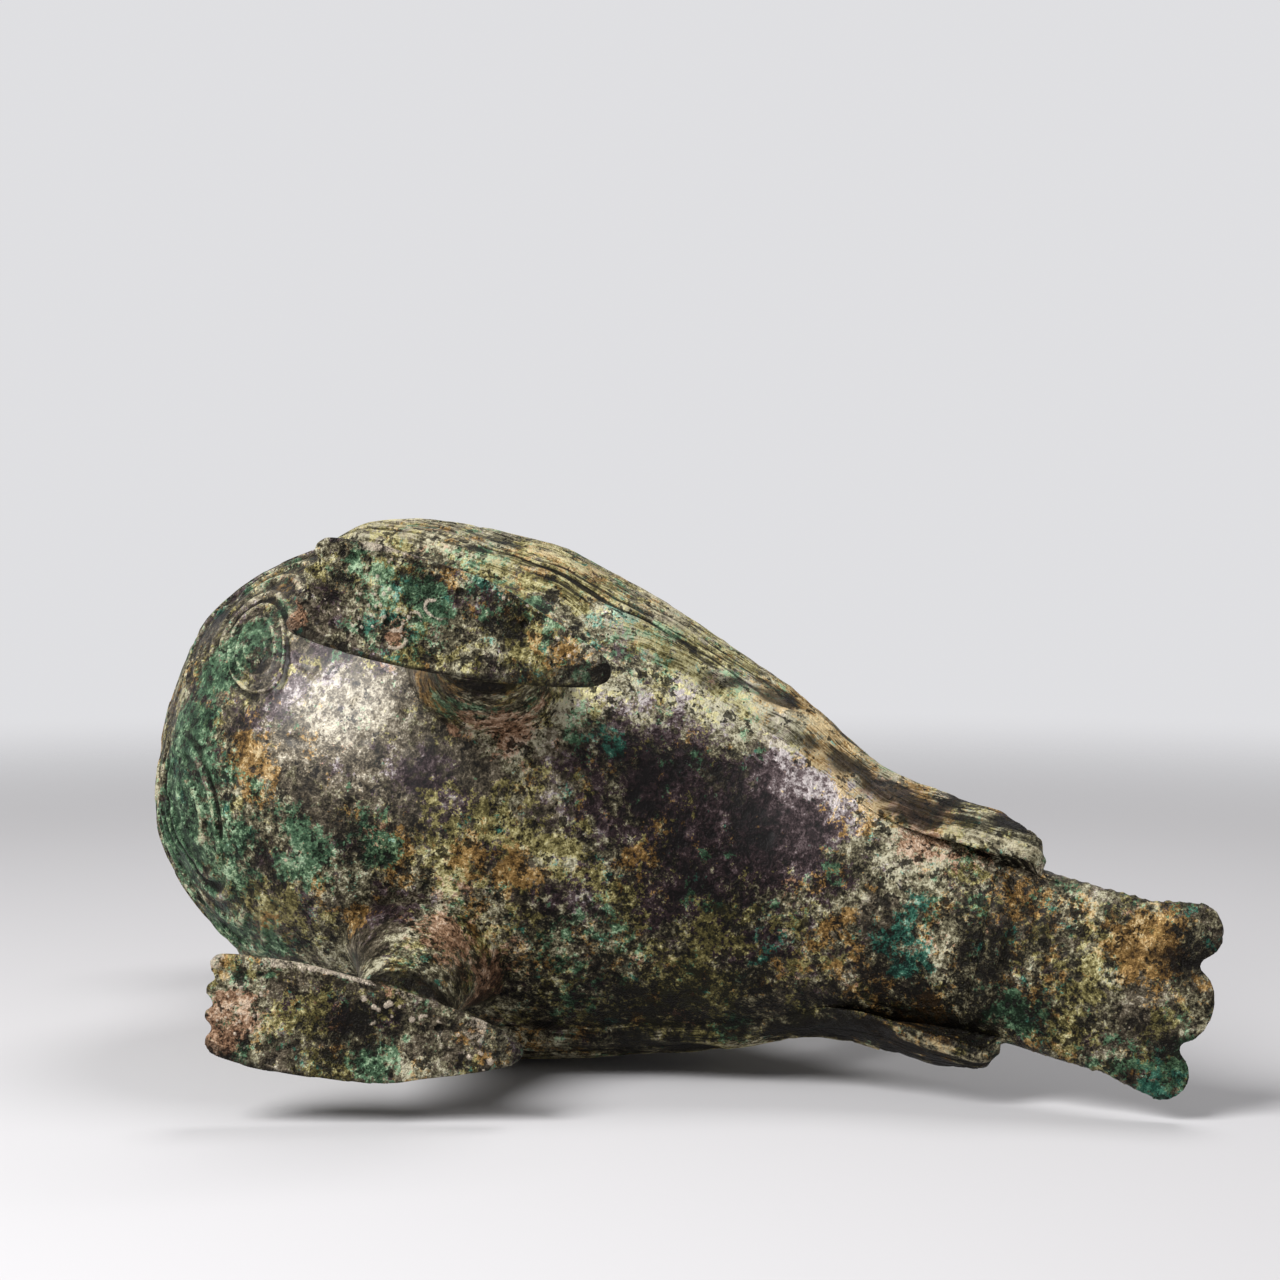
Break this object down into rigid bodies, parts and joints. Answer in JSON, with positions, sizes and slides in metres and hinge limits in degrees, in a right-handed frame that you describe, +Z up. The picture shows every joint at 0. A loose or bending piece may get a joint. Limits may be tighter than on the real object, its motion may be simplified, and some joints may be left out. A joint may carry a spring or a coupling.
{
  "type": "bronze owl wine vessel",
  "caption": "Hollow cast bronze wine vessel in the shape of a standing owl, with a lift-off head as its lid, two feet and a fan tail that it stands on.",
  "frame": {"origin": "on the ground, below the middle of the box that holds the standing vessel", "axes": "+Z up, the owl faces -Y, its left side is +X"},
  "size_m": [0.1308, 0.254, 0.2601],
  "materials": {
    "patina_body": "old cast bronze, dark brown with green and turquoise patina, dull gloss",
    "patina_tail": "cast bronze with feather relief, ochre and turquoise patina",
    "patina_wing": "cast bronze with feather relief, olive and ochre patina",
    "patina_leg": "cast bronze, green patina, with tan earth left in the roots",
    "patina_head": "cast bronze with a relief face, dark brown and green patina"
  },
  "bodies": {
    "vessel": {"vessel_body": "patina_body", "tail_fan": "patina_tail", "left_wing": "patina_wing", "right_wing": "patina_wing", "left_leg": "patina_leg", "right_leg": "patina_leg", "handle": "patina_body"},
    "lid": {"head_lid": "patina_head", "beak": "patina_head", "left_horn": "patina_head", "right_horn": "patina_head", "lid_knob": "patina_head"}
  },
  "joints": [
    {"name": "lid_lift", "type": "slide", "parent": "vessel", "child": "lid", "axis": [0, 0, 1], "range_m": [0, 0.06]}
  ]
}
